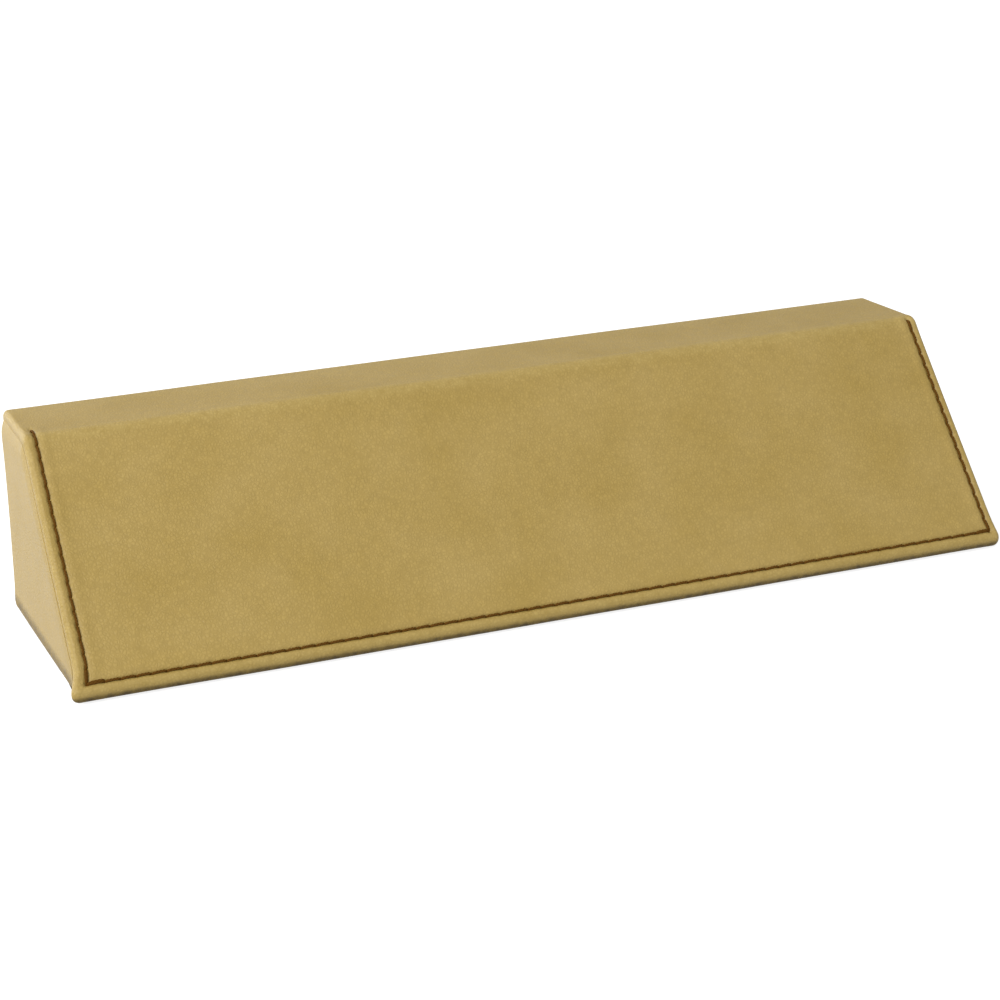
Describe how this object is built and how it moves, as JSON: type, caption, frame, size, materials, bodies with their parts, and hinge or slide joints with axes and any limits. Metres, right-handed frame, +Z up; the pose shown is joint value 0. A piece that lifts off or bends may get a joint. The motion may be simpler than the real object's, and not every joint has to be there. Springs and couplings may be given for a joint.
{
  "type": "desk name plate",
  "caption": "Free-standing desk wedge wrapped in stitched leatherette, with a blank sloped face, a level top strip, closed end panels and a felt base.",
  "frame": {"origin": "middle of the length and depth, on the surface that the base felt stands on", "axes": "+X along the length to the right as seen from the front, the sloped face looks towards -Y, +Z up"},
  "size_m": [0.2178, 0.0654, 0.0476],
  "materials": {
    "leatherette": "tan, fine grain, low sheen",
    "thread": "dark brown twisted thread",
    "felt": "dark brown felt",
    "board": "raw fibreboard",
    "card": "grey card"
  },
  "bodies": {
    "root": {"core_front_board": "board", "core_top_board": "board", "core_back_board": "board", "core_base_board": "board", "core_left_end_board": "board", "core_right_end_board": "board", "leatherette_cover": "leatherette", "left_end_panel": "leatherette", "right_end_panel": "leatherette", "left_end_infill_card": "card", "right_end_infill_card": "card", "base_infill_card": "card", "base_felt": "felt", "left_stitch_run": "thread", "bottom_stitch_run": "thread", "right_stitch_run": "thread"}
  },
  "joints": []
}
